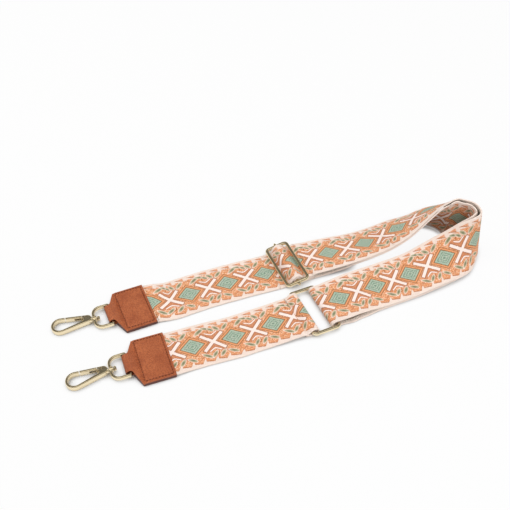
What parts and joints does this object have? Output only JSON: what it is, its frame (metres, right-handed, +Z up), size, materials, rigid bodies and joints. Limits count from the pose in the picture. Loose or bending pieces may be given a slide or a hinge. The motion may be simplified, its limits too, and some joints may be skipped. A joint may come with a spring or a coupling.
{
  "type": "bag strap",
  "caption": "Wide patterned webbing bag strap with leather end tabs, swivel snap hooks, a sliding buckle and a rectangular ring, laid flat and turned back on itself.",
  "frame": {"origin": "middle of the bounding box's bottom face", "axes": "+X along the strap from the hooks to the bend, +Y from the ring's strand to the buckle's strand, +Z up"},
  "size_m": [0.4462, 0.127, 0.0551],
  "materials": {
    "webbing": "jacquard woven, matt",
    "leather": "grained, tan, with painted edges",
    "thread": "waxed thread",
    "brass": "polished pale gold plating",
    "steel": "spring wire"
  },
  "bodies": {
    "upper_strap": {"long_webbing": "webbing", "leather_tab_a": "leather", "tab_thread_a": "thread"},
    "slider": {"slider_frame": "brass", "slider_bar": "brass"},
    "ring": {"rectangular_ring": "brass"},
    "lower_strap": {"short_webbing": "webbing", "ring_fold_thread": "thread", "leather_tab_b": "leather", "tab_thread_b": "thread"},
    "swivel_ring_a": {"swivel_ring_a": "brass"},
    "hook_a": {"hook_body_a": "brass", "swivel_pin_a": "brass", "gate_pin_a": "brass"},
    "gate_a": {"gate_a": "brass", "gate_spring_a": "steel"},
    "swivel_ring_b": {"swivel_ring_b": "brass"},
    "hook_b": {"hook_body_b": "brass", "swivel_pin_b": "brass", "gate_pin_b": "brass"},
    "gate_b": {"gate_b": "brass", "gate_spring_b": "steel"}
  },
  "joints": [
    {"name": "slider_slide", "type": "slide", "parent": "upper_strap", "child": "slider", "axis": [0.9986, 0.0523, 0], "range_m": [-0.02, 0.02], "deforming": ["long_webbing"]},
    {"name": "ring_swing", "type": "hinge", "parent": "upper_strap", "child": "ring", "pos_m": [0.03318, -0.03283, 0.00409], "axis": [-0.0698, 0.9976, 0], "range_deg": [-70, 70]},
    {"name": "lower_swing", "type": "hinge", "parent": "ring", "child": "lower_strap", "pos_m": [0.00615, -0.03472, 0.00409], "axis": [-0.0698, 0.9976, 0], "range_deg": [-70, 70]},
    {"name": "ring_hinge_a", "type": "hinge", "parent": "upper_strap", "child": "swivel_ring_a", "pos_m": [-0.16644, 0.02803, 0.00397], "axis": [-0.0175, 0.9998, 0], "range_deg": [-70, 70]},
    {"name": "hook_swivel_a", "type": "hinge", "parent": "swivel_ring_a", "child": "hook_a", "pos_m": [-0.1665, 0.02639, 0.00397], "axis": [0.996, -0.0872, 0.0182], "continuous": true},
    {"name": "gate_hinge_a", "type": "hinge", "parent": "hook_a", "child": "gate_a", "pos_m": [-0.18992, 0.03135, 0.00354], "axis": [-0.0183, -0.0003, 0.9998], "range_deg": [0, 22], "stiffness_Nm_per_rad": 0.0015, "springref_deg": -20.05},
    {"name": "ring_hinge_b", "type": "hinge", "parent": "lower_strap", "child": "swivel_ring_b", "pos_m": [-0.16424, -0.03577, 0.00397], "axis": [-0.014, 0.9999, 0], "range_deg": [-70, 70]},
    {"name": "hook_swivel_b", "type": "hinge", "parent": "swivel_ring_b", "child": "hook_b", "pos_m": [-0.16424, -0.03577, 0.00397], "axis": [0.9997, 0.014, 0.0183], "continuous": true},
    {"name": "gate_hinge_b", "type": "hinge", "parent": "hook_b", "child": "gate_b", "pos_m": [-0.18804, -0.03321, 0.00354], "axis": [-0.0183, -0.0003, 0.9998], "range_deg": [0, 22], "stiffness_Nm_per_rad": 0.0015, "springref_deg": -20.05}
  ]
}
